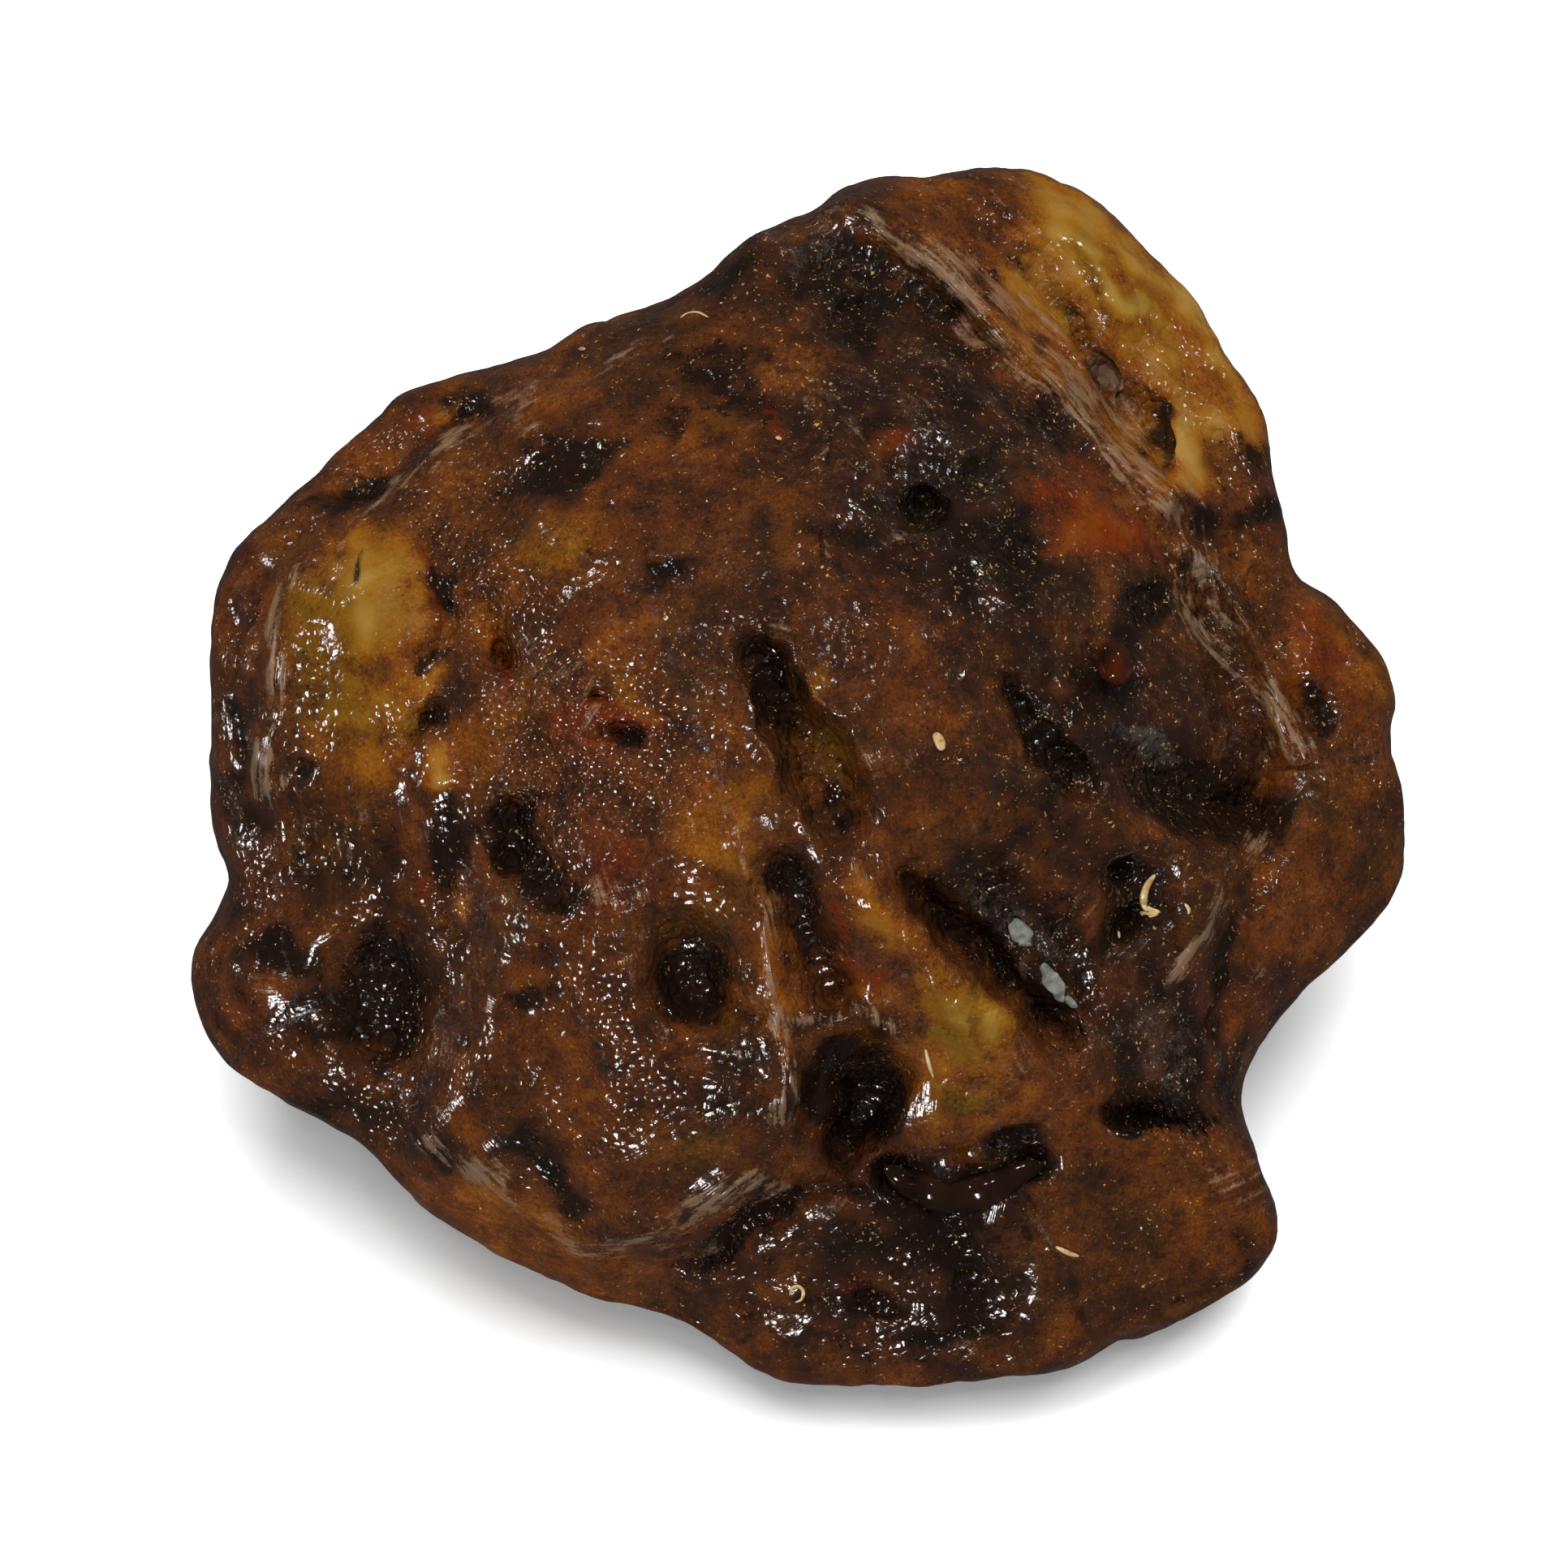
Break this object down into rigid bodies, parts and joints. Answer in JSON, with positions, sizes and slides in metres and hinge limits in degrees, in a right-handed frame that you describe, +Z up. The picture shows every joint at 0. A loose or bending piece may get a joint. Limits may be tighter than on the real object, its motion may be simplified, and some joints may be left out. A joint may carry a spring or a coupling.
{
  "type": "raw amber piece",
  "caption": "Rounded, blocky lump of raw amber with a worn crust, hollows, ledges and a flat underside to rest on.",
  "frame": {"origin": "centre of the bounding box's bottom, on the surface that the nugget rests on", "axes": "+Z up; +X along the nugget's longest side; the broad pitted face looks up and towards -Y, 60 degrees above the horizon"},
  "size_m": [0.0456, 0.044, 0.0272],
  "materials": {
    "amber_crust": "fossil resin with a thin dark brown weathered crust, glossy and finely pebbled, worn through to honey and cream amber in places"
  },
  "bodies": {
    "root": {"amber_nugget": "amber_crust"}
  },
  "joints": []
}
